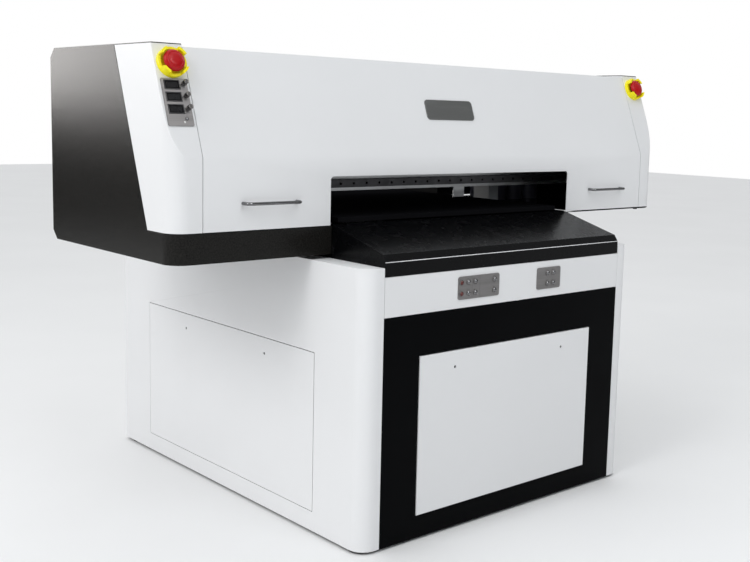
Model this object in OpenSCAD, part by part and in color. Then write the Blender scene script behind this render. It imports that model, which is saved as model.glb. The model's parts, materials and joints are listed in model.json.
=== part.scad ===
// Flatbed UV printer: a cabinet that carries a travelling bed, and a hood over a print beam.
// Millimetres. X runs across the machine, -Y is its front, and Z is up from the floor.
// The origin is on the floor, under the middle of the cabinet.

/* [Cabinet] */
// Width over the two side panels
cab_w = 848; // [706:2:920]
// Depth from the front face to the back face
cab_d = 1024; // [900:4:1230]
// Height of the side panels' top edge above the floor
cab_h = 594; // [520:2:714]
// Width of a side panel's front face, up to the front bay
face_w = 50; // [44:1:60]
// Radius of the side panels' front corners
cab_r = 36; // [20:1:40]
// Gap between the panels' bottom edges and the floor
skirt_gap = 6; // [3:1:12]
// Drop from the cabinet's top edge to the joint between fascia and apron
fascia_drop = 18; // [14:1:24]
// Height of the white control fascia
fascia_h = 84; // [70:1:100]
// Margin of the black front frame beside the front access panel
frame_margin = 100; // [60:1:130]
// Margin of the black front frame above the front access panel
frame_top = 91; // [60:1:110]
// Height of the front access panel's bottom edge
panel_base = 56; // [40:1:80]

/* [Side access panels] */
// Distance from the cabinet's front to the panel
access_front = 167; // [140:1:220]
// Distance from the panel to the cabinet's back
access_back = 138; // [100:1:200]
// Height of the panel's bottom edge
access_base = 50; // [40:1:80]
// Distance from the panel's top edge to the cabinet's top edge
access_drop = 197; // [120:1:220]
// Distance between the two screws of an access panel
screw_gap = 345; // [260:5:400]

/* [Apron] */
// Height of the apron's upright front face
apron_face = 29; // [20:1:36]
// Depth of the folded front edge
fold_run = 10.6; // [6:0.2:16]
// Height of the folded front edge
fold_rise = 15; // [10:0.5:20]

/* [Hood] */
// Width over the two end shells
hood_w = 1500; // [1430:10:1800]
// Depth from the hood's upright front to its back
hood_d = 540; // [500:10:600]
// Distance from the cabinet's front to the hood's front
setback = 176; // [150:1:210]
// Gap between the cabinet's top edge and the tub
tub_gap = 9; // [6:1:16]
// Height of the black tub under the left end
tub_h = 61; // [52:1:76]
// Height of the covers' upright part
front_h = 144; // [120:1:172]
// Height of the covers' slanted part
slant_h = 216; // [200:1:260]
// How far the slanted part leans back
slant_run = 80; // [66:1:96]
// Width of a white end cap
cap_w = 65; // [65:1:78]
// Depth of an end cap's side, at its bottom edge
cap_side = 97; // [80:1:116]
// Radius of the hood's upright front corners
corner_r = 38; // [20:1:46]
// Size of the chamfers along the hood's back
chamfer = 20; // [10:1:28]
// Step from the top of the end caps down to the lid
lid_step = 6; // [4:1:10]
// Depth of the lid from the hood's front to its hinges
lid_d = 230; // [200:1:250]
// Height of the throat above the covers' bottom edge
throat_h = 103; // [86:1:120]

/* [Bed] */
// Thickness of the bed plate
bed_t = 10.5; // [9:0.5:14]
// Gap between the bed's edge and the side of the front bay
bed_side_gap = 24; // [16:1:40]
// Travel of the bed out of the throat
bed_travel = 460; // [300:10:460]
// Height of the rear fence above the bed
fence_rise = 24; // [10:1:40]

/* [Beam and carriage] */
// Gap between the bed and the beam
beam_gap = 45; // [40:1:54]
// Height of the beam
beam_h = 100; // [84:1:112]
// Depth of the beam
beam_d = 80; // [68:1:84]
// Pitch of the mounting holes in the beam's guide rail
rail_pitch = 38; // [30:1:60]
// Width of the carriage
carriage_w = 220; // [184:2:264]
// Width of the lamp beside the carriage
lamp_w = 68; // [56:1:82]

/* [Controls] */
// Diameter of a push button
button_d = 10; // [8:0.5:12]
// Distance that the push buttons stand out of the fascia
proud = 6; // [5.5:0.5:8]
// Diameter of an emergency stop's guard
guard_d = 60; // [54:1:64]
// Diameter of an emergency stop's red head
mushroom_d = 44; // [36:1:46]
// Diameter of a gauge knob
knob_d = 10; // [8:0.5:11]

/* [Sheet metal] */
// Thickness of the panels and covers
sheet = 2; // [1.5:0.25:2.5]
// Seam between neighbouring panels
seam = 1.5; // [1:0.25:2.5]

/* [Hidden] */
$fn = 48;

// Planes of the cabinet
cab_x = cab_w / 2;
cab_f = -cab_d / 2;
cab_b = cab_d / 2;
bay_x = cab_x - face_w;
fascia_top = cab_h - fascia_drop;
fascia_base = fascia_top - fascia_h;
panel_x = bay_x - frame_margin;
panel_top = fascia_base - frame_top;
access_top = cab_h - access_drop;
access_f = cab_f + access_front;
access_b = cab_b - access_back;
flange = 8;
gap = 0.3;

// Planes of the hood
hood_x = hood_w / 2;
hood_f = cab_f + setback;
hood_b = hood_f + hood_d;
tub_z = cab_h + tub_gap;
cover_z = tub_z + tub_h;
crease_z = cover_z + front_h;
hood_top = crease_z + slant_h;
lid_top = hood_top - lid_step;
lean = atan(slant_run / slant_h);
cap_x = hood_x - cap_w;
throat_x = bay_x + 5;
throat_r = 8;
tub_x = cab_x + 4;
hinge_y = hood_f + lid_d;
hinge_r = 5.5;
pin_r = 2.5;
hinge_x = cap_x - 135;
hinge_room = hinge_r + 1.5;
rim = 14;
lip = 12;
hinge_half = 36;

// Base frame: square tubes inside the cabinet
tube = 40;
tube_wall = 2.5;
frame_x = cab_x - 10;
frame_y = cab_b - 18;
frame_z = 70;
frame_h = cab_h - 20;
weld_gap = 0.2;
foot_d = 50;
inlet_w = 60;
inlet_h = 40;

// Bed and its drive
bed_z = cover_z + 3.5;
bed_top = bed_z + bed_t;
bed_x = bay_x - bed_side_gap;
bed_f = hood_f + 12;
bed_b = frame_y - 4;
apron_x = bay_x - 2;
apron_rear_z = cover_z + 2;
rail_x = 150;
rail_w = 18;
rail_h = 16;
screw_r = 8;
nut_r = screw_r + gap;
saddle_x = rail_x + 30;
saddle_b = bed_b - 10;
saddle_f = saddle_b - 320;
saddle_z = frame_h + 38;
saddle_t = 12;
bed_screw_z = frame_h - 14;
motor = 56;

// Gantry, beam and carriage
upright_w = 36;
upright_d = 60;
upright_y = hood_f + 276;
cross_z = lid_top - 93;
beam_z = bed_top + beam_gap;
beam_y = upright_y - 46;
beam_f = beam_y - beam_d;
beam_x = cap_x - 65;
lift_y = upright_y - 30;
lift_down = 17;
lift_up = 80;
bracket_z = cross_z + 10;
x_rail_z = beam_z + 8;
x_rail_d = 12;
x_rail_f = beam_f - x_rail_d;
pulley_x = beam_x + 36;
pulley_z = beam_z + beam_h - 23;
pulley_r = 14;
belt_w = 10;
belt_y = x_rail_f - belt_w;
plate_y = belt_y - 14;
carriage_f = hood_f + 16;
head_z = bed_top + lift_down + 5;
probe_x = 144;
probe_w = 37;
probe_drop = beam_gap - lift_down - 2;
body_z = head_z + 12;
carriage_h = 168;
park_x = -(hood_x - 190);

// Controls on the fascia, each as its plate's middle and size
plate_z = fascia_base + 43;
plate_h = 50;
plate_t = 2;
plate_1 = [-108, 125];
plate_2 = [119, 80];
groove_dx = [-21.5, 1];
row_z = 12;
lamp_spots = [for (s = [1, -1]) [plate_1[0] - 53, plate_z + s * row_z]];
button_spots = concat(
    [for (dx = [-32, -11, 48], s = [1, -1]) [plate_1[0] + dx, plate_z + s * row_z]],
    [for (dx = [-4, 16], s = [1, -1]) [plate_2[0] + dx, plate_z + s * row_z]]
);
barrel_r = button_d / 2 + 1;
bezel_r = barrel_r + 1;

// Controls on the slanted face: distances along the slant are measured up from the crease
gauge_x = -(hood_x - 32.5);
gauge_s = 110;
gauge_w = 55;
gauge_h = 95;
display_w = 33;
display_h = 19;
display_dx = -5.3;
display_ds = [34.8, 10.4, -14];
knob_dx = 19;
knob_ds = [37, 12, -13];
knob_shaft_r = 3;
gauge_lamp = [8, -40, 2];
gauge_button_at = [13.5, -33];
gauge_button_r = 3.5;
estop_x = hood_x - 34;
estop_s = 188.5;
stem_r = 8;
block_r = 11;
guard_h = 20;
guard_floor = 3.5;
guard_slot = 26;
head_base = 9;
head_rim = 4;
head_h = 10;
badge_x = -8;
badge_s = 111;

// Sideways normal of the line from a to b, on its right-hand side
function normal(a, b) = [b[1] - a[1], a[0] - b[0]] / norm(b - a);

// Corner b of the path a, b, c, moved in by t
function mitre(a, b, c, t) =
    let (n = normal(a, b), m = n + normal(b, c))
    b + m * t / (m * n);

// A closed outline moved in by t
function inset(p, t) =
    let (n = len(p))
    [for (i = [0 : n - 1]) mitre(p[(i + n - 1) % n], p[i], p[(i + 1) % n], t)];

// The far surface of a sheet that is bent along the open path p
function inner_path(p, t) =
    let (n = len(p) - 1)
    [for (i = [0 : n])
        i == 0 ? p[0] + normal(p[0], p[1]) * t
        : i == n ? p[n] + normal(p[n - 1], p[n]) * t
        : mitre(p[i - 1], p[i], p[i + 1], t)];

// Outline of a sheet of thickness t that is bent along the open path p
function bent_sheet(p, t) =
    let (q = inner_path(p, t), n = len(p) - 1)
    concat(p, [for (i = [0 : n]) q[n - i]]);

// Where the slanted face is at height z
function slant_y(z) = hood_f + (z - crease_z) * tan(lean);

// Where an end cap's side ends at height z
function split_y(z) = hood_f + cap_side + (z - cover_z) * tan(lean);

// Outline of the hood in the YZ plane, down to the height base
function hood_outline(base) = [
    [hood_f, base],
    [hood_f, crease_z],
    [slant_y(hood_top), hood_top],
    [hood_b - chamfer, hood_top],
    [hood_b, hood_top - chamfer],
    [hood_b, base + chamfer],
    [hood_b - chamfer, base]
];

module slab(x0, x1, y0, y1, z0, z1) {
    translate([x0, y0, z0])
        cube([x1 - x0, y1 - y0, z1 - z0]);
}

// Extrudes a YZ outline from x0 to x1
module along_x(x0, x1) {
    translate([x0, 0, 0])
        rotate([90, 0, 90])
            linear_extrude(x1 - x0)
                children();
}

module both_sides() {
    children();
    mirror([1, 0, 0])
        children();
}

// Places children on the slanted face: local Z is its outward normal, local Y runs up it
module on_slant(x, s, h = 0) {
    translate([x, hood_f + s * sin(lean) - h * cos(lean), crease_z + s * cos(lean) + h * sin(lean)])
        rotate([90 - lean, 0, 0])
            children();
}

// Places children on the cabinet's front: local Z is towards the viewer, local Y is up
module on_front(x, z) {
    translate([x, cab_f, z])
        rotate([90, 0, 0])
            children();
}

module rounded_rect(w, h, r) {
    square([w - 2 * r, h], center = true);
    square([w, h - 2 * r], center = true);
    for (sx = [-1, 1], sy = [-1, 1])
        translate([sx * (w / 2 - r), sy * (h / 2 - r)])
            circle(r);
}

// Plan of a box whose front left corner is rounded
module corner_plan(x0, x1, y0, y1, r) {
    translate([x0 + r, y0])
        square([x1 - x0 - r, y1 - y0]);
    translate([x0, y0 + r])
        square([x1 - x0, y1 - y0 - r]);
    intersection() {
        translate([x0 + r, y0 + r])
            circle(r);
        translate([x0, y0])
            square(r);
    }
}

// A square tube with open ends, along Z
module square_tube(w, d, length) {
    difference() {
        cube([w, d, length]);
        translate([tube_wall, tube_wall, -1])
            cube([w - 2 * tube_wall, d - 2 * tube_wall, length + 2]);
    }
}

module tube_x(x0, x1, y, z, d = tube, h = tube) {
    translate([x0, y, z + h])
        rotate([0, 90, 0])
            square_tube(h, d, x1 - x0);
}

module tube_y(y0, y1, x, z) {
    translate([x, y1, z])
        rotate([90, 0, 0])
            square_tube(tube, tube, y1 - y0);
}

module levelling_feet() {
    color("dimgray")
        for (sx = [-1, 1], sy = [-1, 1])
            translate([sx * (frame_x - tube / 2), sy * (frame_y - tube / 2), 0]) {
                cylinder(h = 12, d = foot_d);
                cylinder(h = frame_z, d = 16);
                translate([0, 0, frame_z - 14])
                    cylinder(h = 14, d = 30, $fn = 6);
            }
}

module base_frame() {
    long_y = frame_y - tube - weld_gap;
    long_x = frame_x - tube - weld_gap;
    color("gray") {
        for (sx = [-1, 1], sy = [-1, 1])
            translate([sx * (frame_x - tube / 2) - tube / 2, sy * (frame_y - tube / 2) - tube / 2,
                    frame_z])
                square_tube(tube, tube, frame_h - frame_z);
        for (z = [frame_z, frame_h - tube]) {
            for (sy = [-1, 1])
                tube_x(-long_x, long_x, sy * (frame_y - tube / 2) - tube / 2, z);
            for (sx = [-1, 1])
                tube_y(-long_y, long_y, sx * (frame_x - tube / 2) - tube / 2, z);
        }
        for (sx = [-1, 1])
            tube_y(-long_y, long_y, sx * rail_x - tube / 2, frame_h - tube);
    }
}

// The left side panel; the right one is its mirror image
module side_panel() {
    color("whitesmoke")
        difference() {
            union() {
                difference() {
                    translate([0, 0, skirt_gap])
                        linear_extrude(cab_h - skirt_gap)
                            corner_plan(-cab_x, -bay_x, cab_f, cab_b, cab_r);
                    linear_extrude(cab_h - sheet)
                        corner_plan(-cab_x + sheet, -bay_x + 1, cab_f + sheet, cab_b - sheet,
                            cab_r - sheet);
                }
                slab(-bay_x - sheet, -bay_x, cab_f + 1, cab_f + 15, skirt_gap, cab_h - 1);
            }
            slab(-cab_x - 1, -cab_x + sheet + 1, access_f - seam, access_b + seam,
                access_base - seam, access_top + seam);
            slab(-bay_x - upright_w - 8, -bay_x + 1, upright_y - 3, upright_y + upright_d + 3,
                cab_h - sheet - 1, cab_h + 1);
        }
}

module side_panel_left() {
    side_panel();
}

module side_panel_right() {
    mirror([1, 0, 0])
        side_panel();
}

// A tray with its face at z = 0 and its rim below, and two screw holes near its top edge
module access_tray(w, h) {
    difference() {
        translate([0, 0, -flange])
            linear_extrude(flange)
                square([w, h], center = true);
        translate([0, 0, -flange - 1])
            linear_extrude(flange + 1 - sheet)
                square([w - 2 * sheet, h - 2 * sheet], center = true);
        for (s = [-1, 1])
            translate([s * screw_gap / 2, h / 2 - 35.5, -sheet - 1])
                cylinder(h = sheet + 2, r = 3.2);
    }
}

// Places a tray's face: on the cabinet's front, or on its left and right sides
module at_front_tray() {
    translate([0, cab_f - seam, (panel_base + panel_top) / 2])
        rotate([90, 0, 0])
            children();
}

module at_side_trays() {
    both_sides()
        translate([-cab_x, (access_f + access_b) / 2, (access_base + access_top) / 2])
            rotate([90, 0, -90])
                children();
}

module access_panels() {
    color("white") {
        at_front_tray()
            access_tray(2 * panel_x, panel_top - panel_base);
        at_side_trays()
            access_tray(access_b - access_f, access_top - access_base);
    }
}

module screws(h) {
    for (s = [-1, 1])
        translate([s * screw_gap / 2, h / 2 - 35.5, 0]) {
            translate([0, 0, -2.8])
                cylinder(h = 2, r = 3);
            translate([0, 0, -13])
                cylinder(h = 11, r = 2);
        }
}

module panel_screws() {
    color("dimgray") {
        at_front_tray()
            screws(panel_top - panel_base);
        at_side_trays()
            screws(access_top - access_base);
    }
}

// A flat sheet across the front bay, with rims turned back along both sides
module bay_sheet(z0, z1) {
    w = bay_x - seam / 2;
    slab(-w, w, cab_f, cab_f + sheet, z0, z1);
    both_sides()
        slab(-w, -w + sheet, cab_f, cab_f + 12, z0, z1);
}

module front_frame() {
    color("black")
        difference() {
            bay_sheet(skirt_gap, fascia_base - seam);
            slab(-panel_x - seam, panel_x + seam, cab_f - 1, cab_f + sheet + 1,
                panel_base - seam, panel_top + seam);
        }
}

module control_fascia() {
    color("white")
        difference() {
            bay_sheet(fascia_base, fascia_top - seam);
            for (p = concat(lamp_spots, button_spots))
                on_front(p[0], p[1])
                    translate([0, 0, -sheet - 1])
                        cylinder(h = sheet + 2, r = barrel_r + 0.1);
        }
}

module front_apron() {
    path = [
        [cab_f, fascia_top],
        [cab_f, fascia_top + apron_face],
        [cab_f + fold_run, fascia_top + apron_face + fold_rise],
        [hood_f + 2, apron_rear_z],
        [hood_f + 2, apron_rear_z - 26]
    ];
    color("black") {
        along_x(-apron_x, apron_x)
            polygon(bent_sheet(path, sheet));
        both_sides()
            along_x(-apron_x, -apron_x + sheet)
                polygon(concat(path, [[hood_f + 2 - sheet, fascia_top], [cab_f, fascia_top]]));
    }
}

module rear_panel() {
    w = bay_x - seam / 2;
    color("whitesmoke")
        difference() {
            union() {
                slab(-w, w, cab_b - sheet, cab_b, skirt_gap, cab_h);
                slab(-w, w, frame_y + 3, cab_b, cab_h - sheet, cab_h);
            }
            for (s = [-1, 1], i = [0 : 9])
                translate([s * bay_x / 2, cab_b, cab_h * 0.55 + i * 16])
                    rotate([90, 0, 0])
                        translate([0, 0, -1])
                            linear_extrude(sheet + 2)
                                rounded_rect(150, 6, 2.9);
            inlet_place()
                translate([0, 0, -sheet - 1])
                    linear_extrude(sheet + 2)
                        square([inlet_w - 8, inlet_h - 8], center = true);
        }
}

// The power inlet's place on the rear panel, with local Z pointing out of the back
module inlet_place() {
    translate([0, cab_b, 150])
        rotate([-90, 0, 0])
            children();
}

module rear_fence() {
    fence_f = hood_b - 60;
    fence_top = bed_top + fence_rise;
    fence_base = frame_h - 24;
    color("black") {
        slab(-apron_x, apron_x, frame_y, frame_y + sheet, fence_base, fence_top);
        both_sides()
            slab(-apron_x, -apron_x + sheet, fence_f, frame_y + sheet, frame_h, fence_top);
        both_sides()
            slab(-apron_x, -apron_x + sheet, hood_f + 2 + gap, fence_f + 1, frame_h, apron_rear_z);
        both_sides()
            slab(-apron_x, -apron_x + rim, fence_f, frame_y + sheet, fence_top - sheet, fence_top);
        slab(-apron_x, apron_x, frame_y + sheet - rim, frame_y + sheet, fence_top - sheet, fence_top);
    }
}

module gauge_plate() {
    on_slant(gauge_x, gauge_s)
        difference() {
            linear_extrude(plate_t)
                rounded_rect(gauge_w, gauge_h, 3);
            translate([0, 0, -1])
                linear_extrude(plate_t + 2) {
                    for (ds = display_ds)
                        translate([display_dx, ds])
                            square([display_w + 0.4, display_h + 0.4], center = true);
                    for (ds = knob_ds)
                        translate([knob_dx, ds])
                            circle(knob_shaft_r + 0.05);
                    translate([gauge_lamp[0], gauge_lamp[1]])
                        circle(gauge_lamp[2] + 0.1);
                    translate(gauge_button_at)
                        circle(gauge_button_r + 0.1);
                }
        }
}

module control_plates() {
    color("silver") {
        gauge_plate();
        difference() {
            for (p = [plate_1, plate_2])
                on_front(p[0], plate_z)
                    linear_extrude(plate_t)
                        rounded_rect(p[1], plate_h, 5);
            for (p = concat(lamp_spots, button_spots))
                on_front(p[0], p[1])
                    translate([0, 0, -1])
                        cylinder(h = plate_t + 2, r = barrel_r + 0.1);
            for (dx = groove_dx)
                on_front(plate_1[0] + dx, plate_z)
                    translate([0, 0, plate_t])
                        cube([1, plate_h - 4, 0.8], center = true);
        }
    }
}

module gauge_displays() {
    color("black")
        on_slant(gauge_x, gauge_s, -12)
            for (ds = display_ds)
                translate([display_dx, ds, 0])
                    linear_extrude(12 + plate_t + 1.2)
                        square([display_w, display_h], center = true);
}

// A domed cap of radius r and the given height above z = 0, with a straight part below
module domed_pin(r, below, above, crown = 0.6) {
    rise = crown * r;
    ball = (r * r + rise * rise) / (2 * rise);
    rotate_extrude()
        intersection() {
            translate([0, -below])
                square([r, below + above]);
            translate([0, above - ball])
                circle(ball, $fn = 96);
        }
}

module indicator_lamps() {
    color("firebrick") {
        for (p = lamp_spots)
            on_front(p[0], p[1])
                domed_pin(button_d / 2, 8, proud);
        on_slant(gauge_x + gauge_lamp[0], gauge_s + gauge_lamp[1])
            domed_pin(gauge_lamp[2], 8, plate_t + 1.5);
    }
}

// A switch body behind the fascia: a bezel in front, a barrel behind, and a blind bore
module push_switch() {
    difference() {
        union() {
            translate([0, 0, plate_t])
                cylinder(h = 1.5, r = bezel_r);
            translate([0, 0, -16])
                cylinder(h = 16 + plate_t + 1, r = barrel_r);
        }
        translate([0, 0, -8])
            cylinder(h = 20, r = button_d / 2 + 0.1);
    }
}

module at_estop(side) {
    on_slant(side * estop_x, estop_s)
        children();
}

module switch_bodies() {
    color("gainsboro") {
        for (p = concat(lamp_spots, button_spots))
            on_front(p[0], p[1])
                push_switch();
        for (side = [-1, 1])
            at_estop(side)
                difference() {
                    translate([0, 0, -32])
                        cylinder(h = 36, r = block_r);
                    translate([0, 0, -26])
                        cylinder(h = 40, r = stem_r + 0.1);
                }
    }
}

module button(index) {
    p = button_spots[index];
    color("silver")
        on_front(p[0], p[1])
            domed_pin(button_d / 2, 5, proud);
}

module gauge_knob(index) {
    color("silver")
        on_slant(gauge_x + knob_dx, gauge_s + knob_ds[index]) {
            translate([0, 0, -8])
                cylinder(h = 12, r = knob_shaft_r);
            translate([0, 0, plate_t + 0.5]) {
                cylinder(h = 3, d = knob_d - 2);
                translate([0, 0, 3])
                    cylinder(h = 12, d = knob_d);
            }
        }
}

module gauge_button() {
    color("silver")
        on_slant(gauge_x + gauge_button_at[0], gauge_s + gauge_button_at[1])
            domed_pin(gauge_button_r, 6, plate_t + 3.5);
}

module estop_guards() {
    wall = (guard_d - mushroom_d) / 2 - 3;
    color("gold")
        for (side = [-1, 1])
            at_estop(side)
                difference() {
                    cylinder(h = guard_h, d = guard_d);
                    translate([0, 0, guard_floor])
                        cylinder(h = guard_h, d = guard_d - 2 * wall);
                    translate([0, 0, -1])
                        cylinder(h = guard_floor + 2, r = block_r + 0.1);
                    for (a = [0, 90])
                        rotate([0, 0, a])
                            slab(-guard_slot / 2, guard_slot / 2, -guard_d, guard_d, head_base, guard_h + 1);
                }
}

module estop_button(side) {
    color("red")
        at_estop(side) {
            translate([0, 0, -18])
                cylinder(h = 18 + head_base, r = stem_r);
            translate([0, 0, head_base])
                cylinder(h = head_rim, d1 = mushroom_d - 10, d2 = mushroom_d);
            translate([0, 0, head_base + head_rim])
                domed_pin(mushroom_d / 2, 0, head_h, 0.3);
        }
}

// The part of the hood's volume left of x1 and above base, moved in by t
module hood_block(x1, base, t) {
    intersection() {
        translate([0, 0, base - 1])
            linear_extrude(hood_top - base + 2)
                corner_plan(-hood_x + t, x1, hood_f + t, hood_b, corner_r - t);
        along_x(-hood_x - 1, x1)
            polygon(inset(hood_outline(base), t));
    }
}

// Everything in front of an end cap's rear edge, up to the shell's top plate
module cap_region() {
    top = hood_top - sheet;
    along_x(-hood_x - 1, -cap_x + 1)
        polygon([
            [hood_f - 1, cover_z],
            [hood_f - 1, top],
            [split_y(top), top],
            [split_y(cover_z), cover_z]
        ]);
}

// Everything below, behind and on top of an end cap
module shell_region(base) {
    top = cover_z - seam;
    plate = hood_top - sheet;
    along_x(-hood_x - 1, -cap_x)
        polygon([
            [hood_f - 1, base],
            [hood_f - 1, top],
            [split_y(top) + seam, top],
            [split_y(plate) + seam, plate],
            [hood_f - 1, plate],
            [hood_f - 1, hood_top + 1],
            [hood_b + 1, hood_top + 1],
            [hood_b + 1, base]
        ]);
}

// The left end cap: a bent cover with a rim beside the lid
module end_cap() {
    color("white")
        difference() {
            intersection() {
                cap_region();
                union() {
                    difference() {
                        hood_block(-cap_x, cover_z, 0);
                        hood_block(-cap_x + 1, cover_z - 60, sheet);
                    }
                    difference() {
                        hood_block(-cap_x, cover_z, 1);
                        hood_block(-cap_x - sheet, cover_z - 60, sheet);
                        hood_block(-cap_x + 1, cover_z - 60, rim);
                    }
                }
            }
            at_estop(-1)
                translate([0, 0, -10])
                    cylinder(h = 12, r = block_r + 0.1);
        }
}

module end_cap_left() {
    color("white")
        difference() {
            end_cap();
            on_slant(gauge_x, gauge_s, -10)
                linear_extrude(12)
                    square([gauge_w - 9, gauge_h - 4], center = true);
        }
}

module end_cap_right() {
    mirror([1, 0, 0])
        end_cap();
}

// A band behind the seams between an end cap and the shell around it
module seam_band() {
    low = cover_z - seam - 3;
    high = hood_top + 1;
    along_x(-hood_x - 1, -cap_x)
        polygon([
            [hood_f - 1, low],
            [hood_f - 1, cover_z + lip],
            [split_y(cover_z) - lip, cover_z + lip],
            [split_y(high) - lip, high],
            [split_y(high) + seam + 3, high],
            [split_y(low) + seam + 3, low]
        ]);
}

// The left side shell, down to the height base: a side, a back, a top and a tub under the lid
module side_shell(base) {
    tub_top = cover_z - seam;
    color("black") {
        intersection() {
            seam_band();
            difference() {
                hood_block(-cap_x - sheet - gap, base - 3 * sheet, sheet);
                hood_block(-cap_x + 1, base - 60, 2 * sheet);
            }
        }
        intersection() {
            shell_region(tub_z);
            difference() {
                hood_block(-cap_x, cover_z, 1);
                hood_block(-cap_x - sheet, cover_z, sheet);
                hood_block(-cap_x + 1, cover_z, rim);
            }
        }
        difference() {
            union() {
                intersection() {
                    hood_block(-cap_x, base, 0);
                    shell_region(base);
                }
                intersection() {
                    hood_block(-tub_x, base, 0);
                    slab(-hood_x - 1, 0, hood_f - 1, hood_b + 1, base, tub_top);
                }
                slab(-tub_x - 1, -bay_x - 1, hood_f, hood_f + sheet, base, tub_top);
            }
            hood_block(-cap_x + 1, base, sheet);
            if (tub_top - base > 2 * sheet)
                intersection() {
                    hood_block(-tub_x - sheet, base, sheet);
                    slab(-hood_x, 0, hood_f, hood_b, base, tub_top + 1);
                }
        }
    }
}

module side_shell_left() {
    side_shell(tub_z);
}

module side_shell_right() {
    mirror([1, 0, 0])
        side_shell(cover_z - seam - sheet);
    color("black")
        translate([hood_x - 48, hood_f + 24, cover_z - seam - sheet - 5])
            cylinder(h = 6, r = 6);
}

// The throat as a cutter through an upright sheet near y
module throat_cut(y) {
    w = throat_x;
    translate([0, y + 2 * rim, cover_z])
        rotate([90, 0, 0])
            linear_extrude(4 * rim) {
                translate([-w, -1])
                    square([2 * w, throat_h - throat_r + 1]);
                translate([-w + throat_r, 0])
                    square([2 * (w - throat_r), throat_h]);
                for (s = [-1, 1])
                    translate([s * (w - throat_r), throat_h - throat_r])
                        circle(throat_r);
            }
}

module rear_cover() {
    w = cap_x - seam;
    path = [
        [hinge_y + seam / 2, lid_top],
        [hood_b - chamfer, lid_top],
        [hood_b, lid_top - chamfer],
        [hood_b, cover_z]
    ];
    color("black")
        difference() {
            along_x(-w, w)
                polygon(bent_sheet(path, sheet));
            throat_cut(hood_b);
            at_hinges()
                slab(-hinge_half - 1, hinge_half + 1, 0, hinge_room, -sheet - 1, 1);
            for (sx = [-1, 1], i = [0 : 7])
                translate([sx * cap_x / 2, hood_b, crease_z + 20 + i * 18])
                    rotate([90, 0, 0])
                        translate([0, 0, -1])
                            linear_extrude(sheet + 2)
                                rounded_rect(260, 7, 3.4);
        }
}

// Places children at each of the three lid hinges, with X along the pin
module at_hinges() {
    for (x = [-hinge_x, 0, hinge_x])
        translate([x, hinge_y, lid_top])
            children();
}

module x_cylinder(r, half) {
    translate([-half, 0, 0])
        rotate([0, 90, 0])
            cylinder(h = 2 * half, r = r);
}

module hinge_pins() {
    color("silver")
        at_hinges() {
            x_cylinder(pin_r, hinge_half);
            for (s = [-1, 1])
                translate([s * 26, 0, 0]) {
                    x_cylinder(hinge_r, 10);
                    slab(-10, 10, 0, hinge_room + 1, -sheet - 2, -sheet);
                }
            slab(-hinge_half, hinge_half, hinge_room, 36, -sheet - 2, -sheet);
        }
}

module lid_panel() {
    w = cap_x - seam;
    path = [
        [hood_f, cover_z],
        [hood_f, crease_z],
        [slant_y(lid_top), lid_top],
        [hinge_y - seam / 2, lid_top]
    ];
    color("white")
        difference() {
            union() {
                difference() {
                    along_x(-w, w)
                        polygon(bent_sheet(path, sheet));
                    at_hinges()
                        slab(-hinge_half - 1, hinge_half + 1, -hinge_room, 0, -sheet - 1, 1);
                }
                both_sides()
                    along_x(-w, -w + sheet)
                        polygon(bent_sheet(path, rim));
                at_hinges() {
                    x_cylinder(hinge_r, 15);
                    slab(-15, 15, -hinge_room - 1, 0, -sheet - 2, -sheet);
                    slab(-hinge_half, hinge_half, -36, -hinge_room, -sheet - 2, -sheet);
                }
            }
            throat_cut(hood_f);
            at_hinges()
                x_cylinder(pin_r + 0.05, 20);
        }
}

handle_x = cap_x - 154;
handle_z = cover_z + 54;
handle_span = 128;
handle_r = 3.5;
handle_out = 20;
handle_bend = 9;

// A bow handle: two legs, two bends and a bar, with the lid's face at z = 0
module bow_handle() {
    half = handle_span / 2;
    for (s = [-1, 1]) {
        translate([s * half, 0, 0])
            cylinder(h = handle_out - handle_bend, r = handle_r);
        translate([s * (half - handle_bend), 0, handle_out - handle_bend])
            rotate([90, 0, 0])
                rotate([0, 0, s > 0 ? 0 : 90])
                    rotate_extrude(angle = 90)
                        translate([handle_bend, 0])
                            circle(handle_r);
    }
    translate([0, 0, handle_out])
        x_cylinder(handle_r, half - handle_bend);
}

module lid_handles() {
    color("silver")
        for (s = [-1, 1])
            translate([s * handle_x, hood_f, handle_z])
                rotate([90, 0, 0])
                    bow_handle();
}

module badge_plate() {
    color("silver")
        on_slant(badge_x, badge_s)
            linear_extrude(plate_t)
                rounded_rect(150, 48, 9);
}

module gantry_frame() {
    color("gray") {
        both_sides()
            translate([-bay_x - 2 - upright_w, upright_y, frame_h])
                square_tube(upright_w, upright_d, cross_z - frame_h - weld_gap);
        tube_x(-hood_x + sheet, hood_x - sheet, upright_y, cross_z, upright_d, tube);
        difference() {
            slab(-35, 35, upright_y - 60, upright_y - weld_gap, bracket_z, bracket_z + 8);
            translate([0, lift_y, bracket_z - 1])
                cylinder(h = 10, r = screw_r + 1);
        }
    }
}

module guide_rails() {
    lift_x = bay_x + 2 + upright_w / 2;
    color("silver") {
        both_sides()
            slab(-lift_x - rail_w / 2, -lift_x + rail_w / 2, upright_y - 12, upright_y,
                beam_z + 12 - lift_down, cross_z - 20);
        both_sides()
            slab(-rail_x - rail_w / 2, -rail_x + rail_w / 2, -frame_y + 20, frame_y - 20,
                frame_h, frame_h + rail_h);
    }
}

module axis_motors() {
    color("black") {
        slab(-motor / 2, motor / 2, lift_y - motor / 2, lift_y + motor / 2,
            bracket_z + 8, bracket_z + 8 + motor);
        slab(-motor / 2, motor / 2, frame_y - tube - motor, frame_y - tube,
            bed_screw_z - motor / 2, bed_screw_z + motor / 2);
    }
}

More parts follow.
